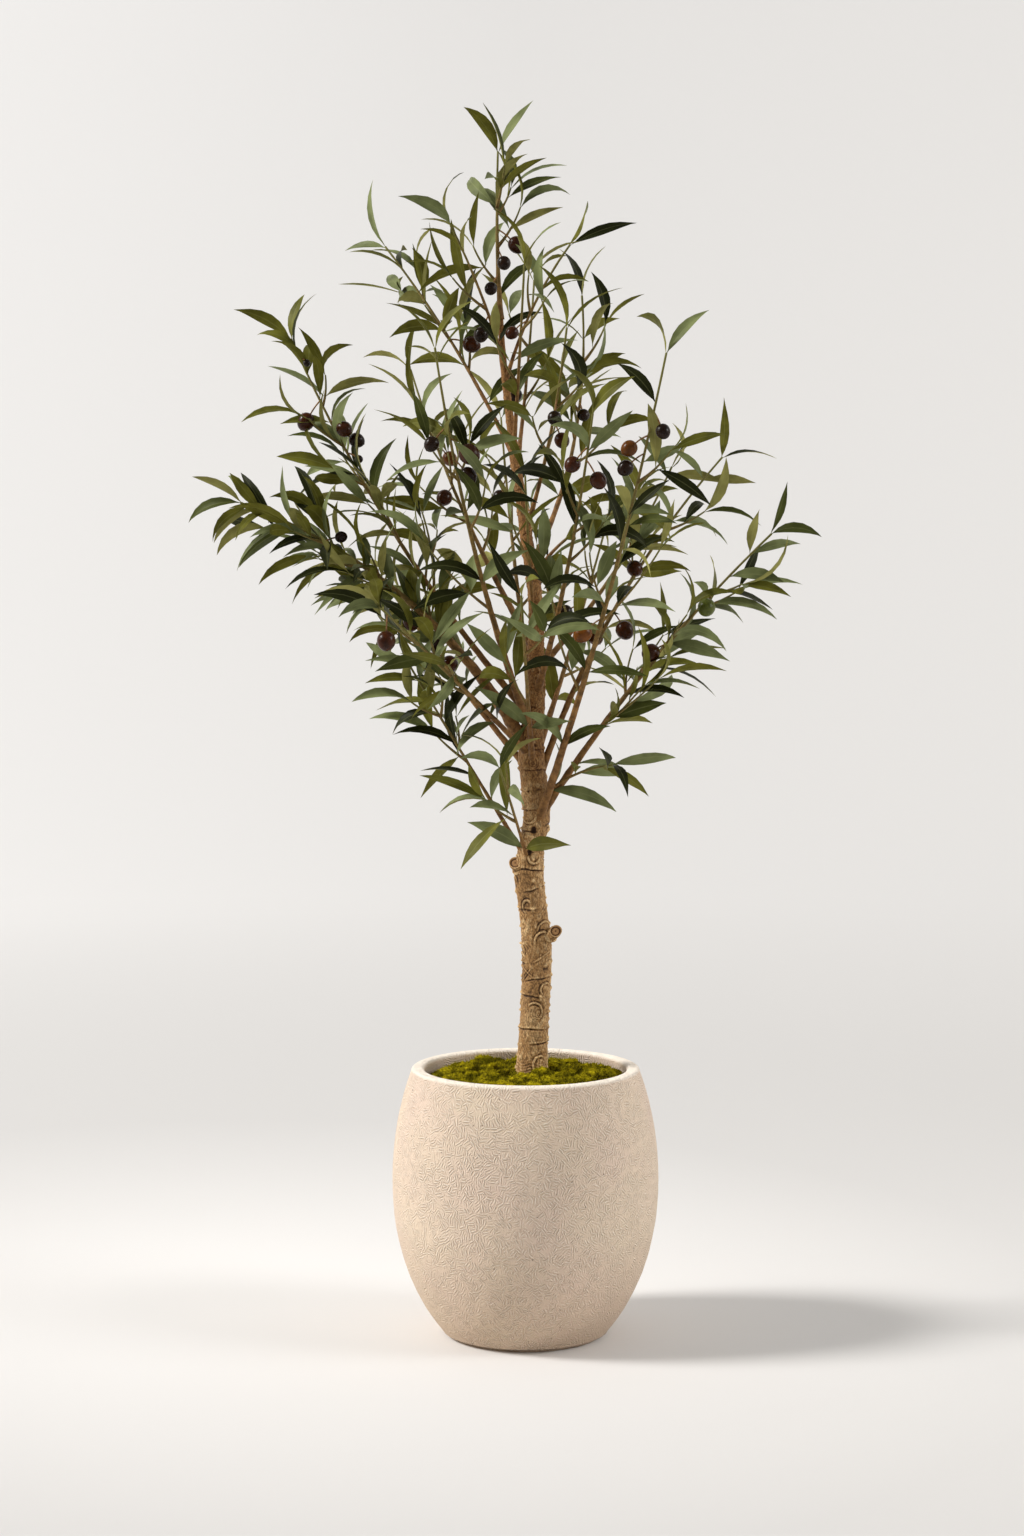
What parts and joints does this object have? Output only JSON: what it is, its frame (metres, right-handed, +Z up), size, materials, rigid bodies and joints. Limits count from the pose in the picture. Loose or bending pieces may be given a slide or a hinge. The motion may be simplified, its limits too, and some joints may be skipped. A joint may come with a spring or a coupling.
{
  "type": "potted artificial olive tree",
  "caption": "Artificial olive tree with a moulded trunk and an open, upright crown of narrow leaves and dark olives, in a round sand-coloured stone-look pot topped with moss.",
  "frame": {"origin": "centre of the pot's flat underside", "axes": "+Z up along the pot's axis, -Y towards the side seen from the front, +X to the right of that view"},
  "size_m": [0.7405, 0.585, 1.5043],
  "materials": {
    "pot_stone": "matt sand-coloured cast stone with fine worm-like relief and tiny pits",
    "core_filling": "matt dark filling, hidden under the moss",
    "moss": "matt yellow-green preserved moss in clumps and tufts",
    "bark": "matt tan-brown moulded bark with a raised lattice relief",
    "foliage": "satin dark grey-green leaves with paler undersides, glossy dark olives"
  },
  "bodies": {
    "root": {"bough_back": "bark", "bough_back_left": "bark", "bough_back_low": "bark", "bough_back_low_left": "bark", "bough_back_right": "bark", "bough_back_right_low": "bark", "bough_front": "bark", "bough_front_left": "bark", "bough_front_low": "bark", "bough_front_mid": "bark", "bough_front_right": "bark", "bough_left": "bark", "bough_left_long": "bark", "bough_left_under": "bark", "bough_low_left": "bark", "bough_right": "bark", "bough_right_mid": "bark", "bough_top_left": "bark", "bough_upper_back": "bark", "bough_upper_front": "bark", "foliage_back": "foliage", "foliage_back_left": "foliage", "foliage_back_low": "foliage", "foliage_back_low_left": "foliage", "foliage_back_right": "foliage", "foliage_back_right_low": "foliage", "foliage_centre": "foliage", "foliage_crown_left": "foliage", "foliage_crown_right": "foliage", "foliage_front": "foliage", "foliage_front_left": "foliage", "foliage_front_low": "foliage", "foliage_front_mid": "foliage", "foliage_front_right": "foliage", "foliage_leader": "foliage", "foliage_left": "foliage", "foliage_left_long": "foliage", "foliage_left_under": "foliage", "foliage_low_left": "foliage", "foliage_low_left_twig": "foliage", "foliage_low_right": "foliage", "foliage_right": "foliage", "foliage_right_mid": "foliage", "foliage_thin_right": "foliage", "foliage_top_left": "foliage", "foliage_upper_back": "foliage", "foliage_upper_front": "foliage", "moss_bed": "moss", "pot": "pot_stone", "potting_core": "core_filling", "trunk": "bark"}
  },
  "joints": []
}
